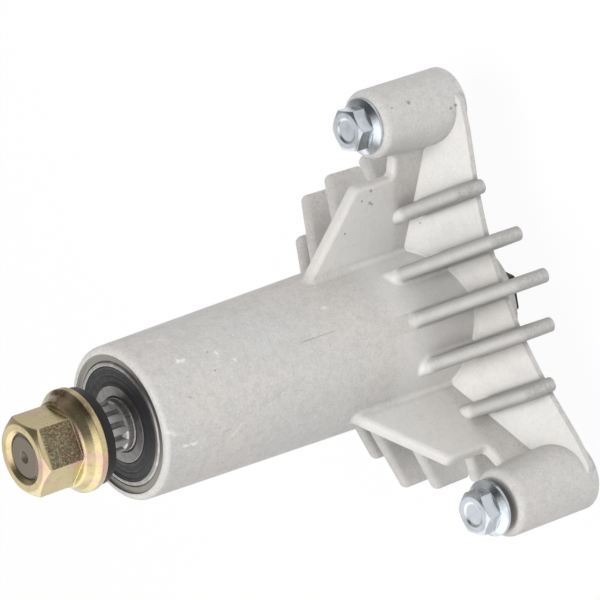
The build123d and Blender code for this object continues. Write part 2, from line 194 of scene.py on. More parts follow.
def turn_profile(name, profile, segments):
    """A turned ring: the first circle is extruded from one profile point to the next, then closed."""
    ring = start_ring(name, profile[0][0], profile[0][1], segments)
    r, z = profile[0]
    for next_r, next_z in profile[1:]:
        bpy.ops.mesh.extrude_edges_move()
        bpy.ops.transform.resize(
            value=(next_r / r, next_r / r, 1.0), center_override=(0, 0, z))
        bpy.ops.transform.translate(value=(0, 0, next_z - z))
        r, z = next_r, next_z
    bpy.ops.mesh.select_all(action="DESELECT")
    bpy.ops.mesh.select_mode(type="EDGE")
    bpy.ops.mesh.select_non_manifold()
    bpy.ops.mesh.bridge_edge_loops()
    bpy.ops.mesh.select_all(action="SELECT")
    bpy.ops.mesh.remove_doubles(threshold=1e-7)
    bpy.ops.mesh.normals_make_consistent(inside=False)
    bpy.ops.mesh.select_mode(type="VERT")
    bpy.ops.object.mode_set(mode="OBJECT")
    bpy.ops.object.shade_smooth_by_angle(angle=radians(40))
    return ring


def dress(piece, material, body):
    piece.data.materials.clear()
    piece.data.materials.append(material)
    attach(piece, body)


def paint(nodes, material):
    """Gives each named CAD node one finish."""
    for name in nodes:
        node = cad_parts[name]
        if not node.material_slots:
            node.data.materials.append(material)
        for slot in node.material_slots:
            slot.material = material


class Nodes:
    """Short ways to build a node tree."""

    def __init__(self, owner):
        owner.use_nodes = True
        self.tree = owner.node_tree
        self.tree.nodes.clear()

    def add(self, kind, **settings):
        node = self.tree.nodes.new(kind)
        for key, value in settings.items():
            setattr(node, key, value)
        return node

    def link(self, source, target):
        self.tree.links.new(source, target)

    def put(self, value, socket):
        if isinstance(value, bpy.types.NodeSocket):
            self.link(value, socket)
        else:
            socket.default_value = value

    def math(self, operation, a, b=0.0):
        node = self.add("ShaderNodeMath", operation=operation)
        self.put(a, node.inputs[0])
        self.put(b, node.inputs[1])
        return node.outputs[0]

    def times(self, *values):
        """All the values multiplied."""
        result = values[0]
        for value in values[1:]:
            result = self.math("MULTIPLY", result, value)
        return result

    def plus(self, *values):
        """All the values added up."""
        result = values[0]
        for value in values[1:]:
            result = self.math("ADD", result, value)
        return result

    def most(self, *values):
        """The greatest of the values."""
        result = values[0]
        for value in values[1:]:
            result = self.math("MAXIMUM", result, value)
        return result

    def vector(self, operation, a, b=None):
        """The node of a vector operation; its outputs are Vector and Value."""
        node = self.add("ShaderNodeVectorMath", operation=operation)
        self.put(a, node.inputs[0])
        if b is not None:
            self.put(b, node.inputs[1])
        return node

    def ramp(self, value, low, high, out_low=0.0, out_high=1.0, kind="SMOOTHSTEP"):
        """value from low to high becomes out_low to out_high, held at the ends and smooth unless kind says LINEAR."""
        node = self.add("ShaderNodeMapRange", interpolation_type=kind)
        self.put(value, node.inputs["Value"])
        node.inputs["From Min"].default_value = low
        node.inputs["From Max"].default_value = high
        node.inputs["To Min"].default_value = out_low
        node.inputs["To Max"].default_value = out_high
        return node.outputs[0]

    def band(self, value, low, high, soft):
        """1 between low and high."""
        return self.times(self.ramp(value, low - soft, low + soft),
                          self.ramp(value, high - soft, high + soft, 1.0, 0.0))

    def light(self, kind, strength):
        """A shader that sends out white light."""
        node = self.add(kind)
        node.inputs["Color"].default_value = WHITE
        self.put(strength, node.inputs["Strength"])
        return node.outputs[0]

    def mix_shaders(self, amount, a, b):
        """Shaders, a where amount is 0 and b where it is 1."""
        node = self.add("ShaderNodeMixShader")
        self.put(amount, node.inputs[0])
        self.link(a, node.inputs[1])
        self.link(b, node.inputs[2])
        return node.outputs[0]


class Finish(Nodes):
    """A node material in the making. Positions are in millimetres, from the object's own coordinates."""

    def __init__(self, name):
        self.material = bpy.data.materials.new(name)
        super().__init__(self.material)
        output = self.add("ShaderNodeOutputMaterial")
        self.shader = self.add("ShaderNodeBsdfPrincipled")
        self.link(self.shader.outputs["BSDF"], output.inputs["Surface"])
        coordinates = self.add("ShaderNodeTexCoord")
        scaled = self.vector("SCALE", coordinates.outputs["Object"])
        scaled.inputs["Scale"].default_value = PER_MM
        self.place = scaled.outputs[0]
        self.facing = coordinates.outputs["Normal"]
        split = self.add("ShaderNodeSeparateXYZ")
        self.link(self.place, split.inputs[0])
        self.x, self.y, self.z = split.outputs
        self.radius = self.math("SQRT", self.plus(self.times(self.x, self.x), self.times(self.y, self.y)))

    def noise(self, scale, detail=2.0, roughness=0.5, stretch=None, turn=None, seed=0.0):
        """Noise whose scale is in features per millimetre."""
        node = self.add("ShaderNodeTexNoise", noise_dimensions="4D")
        source = self.place
        if stretch or turn:
            mapping = self.add("ShaderNodeMapping", vector_type="TEXTURE")
            self.link(source, mapping.inputs["Vector"])
            mapping.inputs["Rotation"].default_value = turn or (0, 0, 0)
            mapping.inputs["Scale"].default_value = stretch or (1, 1, 1)
            source = mapping.outputs[0]
        self.link(source, node.inputs["Vector"])
        node.inputs["Scale"].default_value = scale
        node.inputs["Detail"].default_value = detail
        node.inputs["Roughness"].default_value = roughness
        node.inputs["W"].default_value = seed
        return node.outputs[0]

    def cells(self, scale):
        """Distance to the nearest point, and a random number for each cell."""
        node = self.add("ShaderNodeTexVoronoi", feature="F1")
        self.link(self.place, node.inputs["Vector"])
        node.inputs["Scale"].default_value = scale
        chance = self.add("ShaderNodeSeparateColor")
        self.link(node.outputs["Color"], chance.inputs[0])
        return node.outputs["Distance"], chance.outputs[0]

    def mix(self, amount, a, b):
        """Colours, a where amount is 0 and b where it is 1."""
        node = self.add("ShaderNodeMix", data_type="RGBA")
        self.put(amount, node.inputs["Factor"])
        for value, name in ((a, "A"), (b, "B")):
            self.put(value, [s for s in node.inputs if s.name == name and s.type == "RGBA"][0])
        return [s for s in node.outputs if s.type == "RGBA"][0]

    def blend(self, amount, a, b):
        """Plain numbers, a where amount is 0 and b where it is 1."""
        node = self.add("ShaderNodeMix", data_type="FLOAT")
        self.put(amount, node.inputs[0])
        self.put(a, node.inputs[2])
        self.put(b, node.inputs[3])
        return node.outputs[0]

    def facing_towards(self, direction):
        return self.vector("DOT_PRODUCT", self.facing, direction).outputs["Value"]

    def measured_along(self, direction):
        """How far the place lies along a direction, in millimetres."""
        return self.vector("DOT_PRODUCT", self.place, direction).outputs["Value"]

    def spot(self, centre, size):
        """1 at a point, in millimetres, fading to 0 at size."""
        away = self.vector("DISTANCE", self.place, centre).outputs["Value"]
        return self.ramp(away, size * 0.35, size, 1.0, 0.0)

    def wandering(self, scale, reach, seed=0.0):
        """The place, pushed about by up to reach millimetres, for marks that aren't ruler-straight."""
        node = self.add("ShaderNodeTexNoise", noise_dimensions="4D")
        self.link(self.place, node.inputs["Vector"])
        node.inputs["Scale"].default_value = scale
        node.inputs["Detail"].default_value = 2.0
        node.inputs["W"].default_value = seed
        centred = self.vector("SUBTRACT", node.outputs["Color"], (0.5, 0.5, 0.5))
        pushed = self.vector("MULTIPLY_ADD", centred.outputs[0], (2 * reach,) * 3)
        self.link(self.place, pushed.inputs[2])
        return pushed.outputs[0]

    def streak(self, start, end, width, place=None):
        """1 along a mark between two points, in millimetres."""
        length = (Vector(end) - Vector(start)).length
        along = (Vector(end) - Vector(start)).normalized()
        shifted = self.vector("SUBTRACT", place or self.place, start).outputs[0]
        reached = self.vector("DOT_PRODUCT", shifted, along).outputs["Value"]
        aside = self.vector("CROSS_PRODUCT", shifted, along).outputs[0]
        away = self.vector("LENGTH", aside).outputs["Value"]
        return self.times(self.band(reached, 0.0, length, length * 0.25), self.ramp(away, 0.0, width, 1.0, 0.0))

    def edges(self, reach, low=0.02, high=0.3):
        """1 where the surface turns sharply within reach, in metres."""
        bevel = self.add("ShaderNodeBevel", samples=6)
        bevel.inputs["Radius"].default_value = reach
        geometry = self.add("ShaderNodeNewGeometry")
        alike = self.vector("DOT_PRODUCT", bevel.outputs[0], geometry.outputs["Normal"]).outputs["Value"]
        return self.ramp(self.math("SUBTRACT", 1.0, alike), low, high)

    def hollows(self, reach):
        """1 in the open, falling toward 0 deep in a corner."""
        node = self.add("ShaderNodeAmbientOcclusion", samples=8)
        node.inputs["Distance"].default_value = reach
        return node.outputs["AO"]

    def bump(self, height, strength, distance, edge=None):
        """A bump whose height is 0 to 1 over distance metres, over softened edges if edge is given."""
        node = self.add("ShaderNodeBump")
        node.inputs["Strength"].default_value = strength
        node.inputs["Distance"].default_value = distance
        self.put(height, node.inputs["Height"])
        if edge:
            bevel = self.add("ShaderNodeBevel", samples=6)
            bevel.inputs["Radius"].default_value = edge
            self.link(bevel.outputs[0], node.inputs["Normal"])
        self.link(node.outputs[0], self.shader.inputs["Normal"])

    def finish(self, colour, roughness, metallic):
        self.put(colour, self.shader.inputs["Base Color"])
        self.put(roughness, self.shader.inputs["Roughness"])
        self.put(metallic, self.shader.inputs["Metallic"])
        return self.material


def shade(colour, factor):
    return tuple(min(1.0, c * factor) for c in colour[:3]) + (1.0,)


# The way that each side of the base faces: the side of the photograph first, then the two others
SIDE_DIRECTIONS = [(cos(radians(a)), sin(radians(a)), 0.0) for a in (-90, 30, 150)]
UPWARD = (0, 0, 1)
# How much painted shade each side's ribs get, at their hollow feet and along their crests
RIB_SHADE = (0.66, 0.03, 0.03)
# Distance of the ribs of one side from its centre line, in millimetres
RIB_PLACES = (0.0, 15.35, 33.7)
# Pitch of the thread in the tapped blade hole, in millimetres
BLADE_THREAD_PITCH = 1.058

# Marks that this casting carries, in millimetres: centre and size of each pit
CASTING_PITS = (
    ((65.6, -47.9, -11.1), 0.95),
    ((60.2, -48.1, -26.8), 0.85),
    ((60.7, -48.3, -28.9), 0.75),
    ((65.4, -47.8, -4.0), 0.55),
    ((43.7, -27.9, -0.9), 0.75),
    ((41.5, -26.6, 2.9), 0.6),
    ((40.2, -25.9, -0.5), 0.9),
    ((39.7, -25.6, -1.4), 0.6),
    ((33.4, -21.9, 10.1), 0.6),
)
# Start, end, width and strength of each rub and line
BRIGHT_RUBS = (
    ((12.4, -21.5, 86.9), (11.6, -22.0, 84.3), 1.0, 0.75),
    ((11.2, -22.7, 73.3), (10.2, -23.1, 72.6), 0.6, 0.55),
    ((7.6, -24.1, 68.6), (6.2, -24.6, 68.1), 0.6, 0.55),
    ((-12.8, -21.1, 93.9), (-13.1, -21.0, 89.2), 0.65, 0.7),
    ((-7.2, -23.4, 99.0), (-8.5, -23.1, 96.2), 0.9, 0.45),
    ((-15.1, -19.7, 87.3), (-12.6, -21.5, 86.1), 0.4, 0.4),
    ((-10.1, -23.4, 63.9), (-8.8, -24.0, 60.4), 0.4, 0.5),
    ((-14.8, -20.3, 76.2), (-12.2, -22.1, 72.4), 0.4, 0.45),
    ((13.5, -22.7, 29.5), (12.7, -23.2, 27.8), 0.8, 0.45),
    ((20.9, -13.4, 89.1), (19.7, -15.3, 83.5), 0.7, 0.3),
)
DARK_LINES = (
    ((5.2, -25.5, 43.1), (5.2, -25.6, 37.4), 0.34, 0.75),
    ((5.2, -25.6, 37.6), (5.3, -25.8, 29.3), 0.36, 0.5),
    ((-8.9, -24.0, 60.6), (-6.2, -25.0, 53.4), 0.4, 0.25),
    ((-12.8, -21.5, 79.1), (-12.7, -21.7, 76.0), 0.8, 0.3),
    ((0.9, -24.7, 88.9), (0.2, -24.8, 87.9), 0.4, 0.6),
)


def casting_finish(colours):
    f = Finish("die_cast_aluminium")
    skin, turned = colours.casting, colours.casting_machined
    # skin: broad warm and cool patches, mottling, dark specks and light grain
    patches = f.noise(0.035, detail=3.0, seed=2.0)
    mottle = f.noise(0.35, detail=4.0, roughness=0.62, seed=5.0)
    speck = f.noise(1.0, detail=3.0, roughness=0.65, seed=6.0)
    grain = f.noise(2.6, detail=3.0, roughness=0.6, seed=1.0)
    cool = (skin[0] * 0.975, skin[1] * 0.99, skin[2] * 1.0, 1)
    warm = (skin[0] * 1.04, skin[1] * 1.0, skin[2] * 0.99, 1)
    colour = f.mix(f.ramp(patches, 0.35, 0.65), cool, warm)
    colour = f.mix(f.ramp(mottle, 0.38, 0.7, 0.0, 0.6), colour, shade(skin, 0.85))
    colour = f.mix(f.ramp(speck, 0.50, 0.66, 0.0, 0.6), colour, shade(skin, 0.80))
    colour = f.mix(f.ramp(grain, 0.5, 0.68, 0.0, 0.65), colour, shade(skin, 1.26))
    # painted shade deep between the ribs and in corners; edges painted lighter, as wear and as a painted highlight
    open_air = f.hollows(0.012)
    colour = f.mix(f.ramp(open_air, 0.2, 0.9, 0.08, 0.0), colour, shade(skin, 0.50))
    corner = f.hollows(0.0045)
    colour = f.mix(f.ramp(corner, 0.45, 0.97, 0.30, 0.0), colour, shade(skin, 0.50))
    wear_and_glint = f.edges(0.0011)
    colour = f.mix(f.times(wear_and_glint, open_air, 0.3), colour, shade(skin, 1.25))
    # painted shade on the ribs' upright flanks, a touch darker
    outward = f.most(*[f.facing_towards(side) for side in SIDE_DIRECTIONS])
    level = f.math("ABSOLUTE", f.facing_towards(UPWARD))
    upright = f.times(f.ramp(outward, 0.5, 0.85, 1.0, 0.0), f.ramp(level, 0.35, 0.75, 1.0, 0.0))
    shaded_flank = f.times(upright, f.band(f.z, -62.0, -19.0, 1.0), f.band(f.radius, 31.0, 64.0, 2.0))
    colour = f.mix(f.times(shaded_flank, 0.05), colour, shade(skin, 0.55))
    # painted shade on both sides of each rib, where its foot runs out into the floor
    on_rib, shade_by_rib, crest_shade = 0.0, 0.0, 0.0
    for side, depth in zip(SIDE_DIRECTIONS, RIB_SHADE):
        there = f.ramp(f.measured_along(side), 24.0, 27.0)
        across = f.math("ABSOLUTE", f.measured_along((-side[1], side[0], 0.0)))
        for rib_place in RIB_PLACES:
            off = f.math("ABSOLUTE", f.math("SUBTRACT", across, rib_place))
            over = f.times(there, f.ramp(off, 2.6, 3.4, 1.0, 0.0))
            on_rib = f.most(on_rib, over)
            crest_shade = f.most(crest_shade, f.times(over, depth))
            shade_by_rib = f.most(shade_by_rib, f.times(there, depth, f.band(off, 1.2, 3.8, 0.9)))
    shade_by_rib = f.times(shade_by_rib, f.ramp(f.z, 2.0, -2.0), f.ramp(f.z, -33.0, -31.0), f.ramp(f.radius, 27.5, 31.0))
    colour = f.mix(shade_by_rib, colour, shade(skin, 0.52))
    # painted light: the floor panels, webs and the tube's foot are painted lighter
    panel = f.times(f.ramp(f.facing_towards(UPWARD), 0.6, 0.9),
                    f.ramp(f.z, -12.0, -8.0, 1.0, 0.0), f.ramp(f.radius, 26.0, 30.0))
    web = f.times(f.ramp(f.z, -13.0, -9.0), f.band(f.radius, 29.0, 58.0, 1.5))
    tube_foot = f.times(f.ramp(f.radius, 29.5, 28.0), f.band(f.z, -30.0, 8.0, 6.0))
    painted_light = f.times(f.most(panel, web, tube_foot), f.math("SUBTRACT", 1.0, on_rib))
    colour = f.mix(f.times(painted_light, 0.42), colour, shade(skin, 1.36))
    # painted shade on the crests, away from the tube
    crest_shade = f.times(crest_shade, f.ramp(f.z, -33.0, -30.0), f.ramp(f.z, 2.0, -2.0))
    colour = f.mix(f.times(crest_shade, f.ramp(f.radius, 26.0, 31.0, 0.0, 0.62)), colour, shade(skin, 0.6))
    # rough, speckled ends of the ribs, where they left the die
    rib_end = f.times(f.ramp(outward, 0.62, 0.95), f.band(f.z, -31.3, -18.6, 0.6), f.band(f.radius, 55.0, 62.0, 0.5))
    speckle = f.noise(1.3, detail=5.0, roughness=0.78, seed=9.0)
    colour = f.mix(f.times(rib_end, f.ramp(speckle, 0.52, 0.68, 0.0, 0.6)), colour, shade(skin, 1.35))
    colour = f.mix(f.times(rib_end, f.ramp(speckle, 0.48, 0.34, 0.0, 0.6)), colour, shade(skin, 0.45))
    # small casting pits, and the larger ones that this casting has
    distance, chance = f.cells(0.17)
    pits = f.times(f.ramp(distance, 0.03, 0.07, 1.0, 0.0), f.math("GREATER_THAN", chance, 0.97))
    pits = f.most(pits, *[f.spot(centre, size) for centre, size in CASTING_PITS])
    pits = f.times(pits, f.ramp(speck, 0.3, 0.55, 0.45, 1.0))
    colour = f.mix(f.times(pits, 0.7), colour, shade(skin, 0.26))
    # handling scratches and rubs
    fine = f.noise(1.0, detail=2.0, stretch=(0.35, 14.0, 14.0), turn=(0.3, 0.9, 1.1), seed=3.0)
    where = f.times(f.ramp(f.noise(0.06, detail=2.0, seed=11.0), 0.50, 0.64), f.ramp(f.z, 40.0, 60.0, 0.25, 1.0))
    marks = f.times(where, 0.22, f.band(fine, 0.66, 0.70, 0.015))
    wavy = f.wandering(0.45, 1.5, seed=15.0)
    for start, end, width, strength in BRIGHT_RUBS:
        marks = f.most(marks, f.times(f.streak(start, end, width * 1.3, wavy), strength))
    marks = f.times(marks, f.ramp(speck, 0.35, 0.55, 0.45, 1.0))
    colour = f.mix(marks, colour, shade(skin, 1.65))
    lines = 0.0
    for start, end, width, strength in DARK_LINES:
        lines = f.most(lines, f.times(f.streak(start, end, width), strength))
    colour = f.mix(lines, colour, shade(skin, 0.42))
    # turned step at the tube's mouth, hub face and boss faces
    mouth = f.times(f.ramp(f.z, 99.1, 99.3), f.ramp(f.radius, 22.15, 22.3, 1.0, 0.0))
    tool_lines = f.math("SINE", f.times(f.radius, 38.0))
    faces = f.times(f.band(f.z, -0.06, 0.06, 0.03), f.ramp(f.facing_towards(UPWARD), 0.9, 0.97))
    hub = f.ramp(f.z, hub_foot_mm + 0.02, hub_foot_mm + 0.2, 1.0, 0.0)
    machined = f.most(mouth, f.times(faces, 0.35), f.times(hub, 0.5))
    colour = f.mix(machined, colour, tuple(turned) + (1,))
    rough = f.ramp(mottle, 0.25, 0.8, 0.46, 0.58)
    rough = f.blend(f.most(wear_and_glint, marks), rough, 0.38)
    rough = f.blend(machined, rough, 0.30)
    metal = f.blend(machined, 0.15, 0.9)
    height = f.math("SUBTRACT", f.plus(f.times(mottle, 0.5), f.times(grain, 0.28)), f.times(pits, 1.6))
    height = f.plus(height, f.times(rib_end, speckle, 1.4), f.times(machined, tool_lines, 0.12))
    f.bump(height, 0.5, 0.00014, edge=0.0006)
    f.shader.inputs["Specular IOR Level"].default_value = 0.35
    return f.finish(colour, rough, metal)


def shaft_finish(colours):
    f = Finish("shaft_steel")
    steel = colours.shaft
    brushed = f.noise(1.0, detail=3.0, stretch=(0.8, 0.8, 9.0), seed=4.0)
    dark_patches = f.noise(0.4, detail=3.0, seed=6.0)
    colour = f.mix(f.ramp(brushed, 0.35, 0.7, 0.0, 0.6), shade(steel, 0.72), shade(steel, 1.35))
    colour = f.mix(f.ramp(dark_patches, 0.5, 0.75, 0.0, 0.35), colour, shade(steel, 0.5))
    # the tooth tips are much lighter than the groove floors
    tips = f.times(f.ramp(f.radius, 7.6, 8.15), f.ramp(f.z, 101.5, 102.5))
    colour = f.mix(f.times(tips, 0.8), colour, shade(steel, 2.3))
    # saw-cut and centred end
    end = f.times(f.ramp(f.z, shaft_top_mm - 5.0, shaft_top_mm - 4.0), f.ramp(f.radius, 7.0, 6.6))
    colour = f.mix(f.times(end, 0.9), colour, (0.17, 0.135, 0.10, 1))
    # black blade end
    blade_end = f.ramp(f.z, hub_foot_mm - 4.2, hub_foot_mm - 3.9, 1.0, 0.0)
    colour = f.mix(blade_end, colour, tuple(colours.black_steel) + (1,))
    # edges painted lighter: wear, and a painted highlight
    wear_and_glint = f.edges(0.0005)
    colour = f.mix(f.times(wear_and_glint, 0.5), colour, shade(steel, 1.7))
    rough = f.blend(blade_end, f.ramp(brushed, 0.3, 0.7, 0.27, 0.40), 0.5)
    rough = f.blend(end, rough, 0.45)
    # blade thread inside the tapped hole
    turn = f.math("ARCTAN2", f.y, f.x)
    turns = f.plus(f.math("DIVIDE", f.z, BLADE_THREAD_PITCH), f.math("DIVIDE", turn, 2 * pi))
    thread = f.math("PINGPONG", turns, 0.5)
    in_hole = f.times(f.ramp(f.radius, 4.35, 4.3), f.ramp(f.z, shaft_foot_mm + 26.0, shaft_foot_mm + 25.5))
    height = f.plus(f.times(brushed, 0.12), f.times(in_hole, thread, 4.0))
    f.bump(height, 0.6, 0.0002, edge=0.00028)
    return f.finish(colour, rough, f.blend(blade_end, 0.6, 0.5))


def nut_finish(colours):
    f = Finish("yellow_zinc_plate")
    zinc = colours.yellow_zinc
    drift = f.noise(0.09, detail=2.0, seed=3.0)
    tint = f.noise(0.13, detail=1.5, seed=8.0)
    cloud = f.noise(0.6, detail=4.0, roughness=0.6, seed=5.0)
    colour = f.mix(f.ramp(drift, 0.35, 0.65), shade(zinc, 0.94), (zinc[0] * 1.05, zinc[1] * 1.07, zinc[2] * 1.15, 1))
    colour = f.mix(f.ramp(tint, 0.54, 0.68, 0.0, 0.75), colour, (0.60, 0.38, 0.35, 1))
    colour = f.mix(f.ramp(tint, 0.44, 0.30, 0.0, 0.5), colour, (0.52, 0.54, 0.29, 1))
    colour = f.mix(f.ramp(cloud, 0.5, 0.8, 0.0, 0.5), colour, (0.36, 0.27, 0.12, 1))
    # painted shade on the side toward +X
    away = f.ramp(f.facing_towards((1, 0, 0)), 0.25, 0.85)
    colour = f.mix(f.times(away, 0.5), colour, shade(zinc, 0.45))
    # one flat was left rough and mottled
    flat = f.times(f.ramp(f.facing_towards((0, -1, 0)), 0.97, 0.99),
                   f.band(f.z, nut_foot_mm + 6.6, nut_top_mm - 2.2, 0.5))
    crust = f.noise(1.6, detail=5.0, roughness=0.8, seed=12.0)
    crust_wide = f.noise(0.22, detail=2.0, seed=14.0)
    rough_colour = f.mix(f.ramp(crust_wide, 0.4, 0.6), (0.21, 0.155, 0.09, 1), (0.23, 0.22, 0.15, 1))
    rough_colour = f.mix(f.ramp(crust, 0.50, 0.60, 0.0, 0.8), rough_colour, (0.60, 0.50, 0.35, 1))
    rough_colour = f.mix(f.ramp(crust, 0.48, 0.39, 0.0, 0.85), rough_colour, (0.085, 0.055, 0.03, 1))
    colour = f.mix(f.times(flat, 0.92), colour, rough_colour)
    # edges painted lighter: wear, and a painted highlight along them
    wear_and_glint = f.edges(0.0006)
    colour = f.mix(f.times(wear_and_glint, 0.6), colour, (0.95, 0.90, 0.74, 1))
    # painted dark reflection: brown patches on the flange beside the hexagon, and along its rim
    dark_patches = f.spot((13.9, -3.6, nut_foot_mm + 3.8), 6.5)
    rim_reflection = f.streak((11.8, -11.0, nut_foot_mm + 2.2), (4.5, -15.6, nut_foot_mm + 2.2), 3.4)
    dark_patches = f.times(f.most(dark_patches, f.times(rim_reflection, 0.85)), f.ramp(cloud, 0.35, 0.6, 0.6, 1.0))
    colour = f.mix(f.times(dark_patches, 0.92), colour, (0.075, 0.047, 0.018, 1))
    # painted shade in the bore
    bore_shade = f.ramp(f.radius, 7.4, 7.3)
    colour = f.mix(f.times(bore_shade, 0.6), colour, (0.16, 0.13, 0.08, 1))
    rough = f.blend(flat, f.ramp(cloud, 0.3, 0.8, 0.21, 0.34), 0.6)
    height = f.plus(f.times(cloud, 0.10), f.times(flat, crust, 2.2))
    f.bump(height, 0.6, 0.00018, edge=0.00055)
    return f.finish(colour, rough, 0.93)


def bolt_finish(colours):
    f = Finish("bright_zinc_plate")
    zinc = colours.bright_zinc
    drift = f.noise(0.22, detail=2.0, seed=3.0)
    cloud = f.noise(0.9, detail=3.0, seed=5.0)
    colour = f.mix(f.ramp(drift, 0.4, 0.65), shade(zinc, 1.05), shade(zinc, 0.82))
    colour = f.mix(f.ramp(cloud, 0.55, 0.8, 0.0, 0.15), colour, (0.44, 0.42, 0.50, 1))
    # edges painted lighter: wear, and a painted highlight
    wear_and_glint = f.edges(0.0004)
    colour = f.mix(f.times(wear_and_glint, 0.5), colour, (0.9, 0.92, 0.95, 1))
    f.bump(cloud, 0.15, 0.00006, edge=0.0004)
    return f.finish(colour, f.ramp(cloud, 0.3, 0.75, 0.19, 0.28), 0.96)


def black_finish(colours):
    f = Finish("black_oxide")
    black = tuple(colours.black_steel)
    cloud = f.noise(0.5, detail=4.0, roughness=0.6, seed=2.0)
    colour = f.mix(f.ramp(cloud, 0.45, 0.75, 0.0, 0.6), black + (1,), (0.06, 0.056, 0.058, 1))
    # edges painted lighter: worn oxide, and a painted highlight
    wear_and_glint = f.edges(0.0005)
    colour = f.mix(f.times(wear_and_glint, 0.35), colour, (0.22, 0.21, 0.20, 1))
    grain = f.noise(3.0, detail=3.0, seed=4.0)
    f.bump(grain, 0.3, 0.0001, edge=0.0004)
    return f.finish(colour, f.ramp(cloud, 0.3, 0.7, 0.42, 0.58), 0.5)


def ring_finish(colours):
    f = Finish("ground_bearing_steel")
    steel = colours.ring_steel
    grind = f.math("SINE", f.times(f.radius, 30.0))
    cloud = f.noise(0.5, detail=3.0, seed=2.0)
    colour = f.mix(f.ramp(cloud, 0.35, 0.7), shade(steel, 1.05), shade(steel, 0.82))
    # the inner ring is darker than the outer one
    colour = f.mix(f.ramp(f.radius, 12.6, 13.4, 0.6, 0.0), colour, shade(steel, 0.4))
    # edges painted lighter: wear, and a painted highlight
    wear_and_glint = f.edges(0.0004)
    colour = f.mix(f.times(wear_and_glint, 0.6), colour, shade(steel, 1.6))
    height = f.plus(f.times(grind, 0.04), f.times(cloud, 0.1))
    f.bump(height, 0.3, 0.0001, edge=0.0003)
    return f.finish(colour, f.ramp(cloud, 0.3, 0.7, 0.32, 0.42), 0.96)


def ball_finish():
    f = Finish("polished_ball_steel")
    haze = f.noise(0.8, detail=2.0, seed=2.0)
    colour = f.mix(f.ramp(haze, 0.4, 0.7), (0.78, 0.78, 0.79, 1), (0.70, 0.70, 0.72, 1))
    return f.finish(colour, f.ramp(haze, 0.3, 0.7, 0.06, 0.12), 1.0)


def cage_finish():
    f = Finish("moulded_cage_plastic")
    haze = f.noise(1.2, detail=3.0, seed=2.0)
    colour = f.mix(f.ramp(haze, 0.4, 0.7), (0.13, 0.12, 0.10, 1), (0.17, 0.155, 0.13, 1))
    f.bump(haze, 0.2, 0.0001, edge=0.0003)
    return f.finish(colour, f.ramp(haze, 0.3, 0.7, 0.45, 0.55), 0.0)


def rubber_finish(colours):
    f = Finish("seal_rubber")
    rubber = tuple(colours.rubber)
    dust = f.noise(0.8, detail=4.0, roughness=0.65, seed=2.0)
    colour = f.mix(f.ramp(dust, 0.5, 0.8, 0.0, 0.5), rubber + (1,), (0.038, 0.037, 0.038, 1))
    # painted shade in the groove of the seal's face, which is also bumped in
    groove = f.band(f.radius, 15.1, 15.7, 0.15)
    colour = f.mix(f.times(groove, 0.6), colour, (0.010, 0.010, 0.011, 1))
    grain = f.noise(4.0, detail=2.0, seed=3.0)
    height = f.math("SUBTRACT", f.times(grain, 0.15), groove)
    f.bump(height, 0.5, 0.0002, edge=0.0002)
    return f.finish(colour, f.ramp(dust, 0.35, 0.7, 0.42, 0.60), 0.0)


class SPINDLE_OT_seal_details(Operator):
    """Turn the lip and the snap bead of each bearing's outward seal"""

    bl_idname = "spindle.seal_details"
    bl_label = "Seal lips and beads"

    def execute(self, context):
        sizes = context.scene.spindle_seal
        rubber = rubber_finish(context.scene.spindle_colours)
        inner_land_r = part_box("upper_inner_ring")[1].x
        lip_r = inner_land_r + 0.08 * MM
        groove_r = lip_r + sizes.lip_width
        bead_r = seal_outer_r - 0.02 * MM
        sunk = 0.3 * MM
        made = []
        for name, face, out in (("upper", upper_seal_face, 1), ("lower", lower_seal_face, -1)):
            lip = [
                (lip_r, face - out * sunk),
                (lip_r, face + out * sizes.lip_height * 0.55),
                (lip_r + sizes.lip_width * 0.12, face + out * sizes.lip_height * 0.92),
                (lip_r + sizes.lip_width * 0.32, face + out * sizes.lip_height),
                (lip_r + sizes.lip_width * 0.62, face + out * sizes.lip_height * 0.7),
                (groove_r, face + out * sizes.lip_height * 0.08),
                (groove_r, face - out * sunk),
            ]
            bead = [
                (bead_r - sizes.bead_width, face - out * sunk),
                (bead_r - sizes.bead_width, face + out * sizes.bead_height * 0.1),
                (bead_r - sizes.bead_width * 0.7, face + out * sizes.bead_height * 0.85),
                (bead_r - sizes.bead_width * 0.4, face + out * sizes.bead_height),
                (bead_r - sizes.bead_width * 0.1, face + out * sizes.bead_height * 0.7),
                (bead_r, face + out * sizes.bead_height * 0.2),
                (bead_r, face - out * sunk),
            ]
            for part, profile in (("lip", lip), ("bead", bead)):
                ring = turn_profile(name + "_seal_" + part, profile, sizes.segments)
                dress(ring, rubber, "housing")
                made.append(ring)
        if len(made) != 4:
            raise RuntimeError("a seal ring is missing")
        paint(["upper_outer_seal", "upper_inner_seal", "lower_outer_seal", "lower_inner_seal"], rubber)
        return {"FINISHED"}


class SPINDLE_OT_casting(Operator):
    """Give the housing its die-cast skin, pits, scratches and turned faces"""

    bl_idname = "spindle.casting"
    bl_label = "Casting finish"

    def execute(self, context):
        paint(["housing"], casting_finish(context.scene.spindle_colours))
        return {"FINISHED"}


class SPINDLE_OT_shaft(Operator):
    """Give the shaft and the spacer their machined steel"""

    bl_idname = "spindle.shaft"
    bl_label = "Shaft finish"

    def execute(self, context):
        paint(["spindle_shaft", "bearing_spacer"], shaft_finish(context.scene.spindle_colours))
        return {"FINISHED"}


class SPINDLE_OT_nut_and_washer(Operator):
    """Give the nut its yellow zinc and the washer its black oxide"""

    bl_idname = "spindle.nut_and_washer"
    bl_label = "Nut and washer finish"

    def execute(self, context):
        colours = context.scene.spindle_colours
        paint(["spindle_nut"], nut_finish(colours))
        paint(["nut_washer"], black_finish(colours))
        return {"FINISHED"}


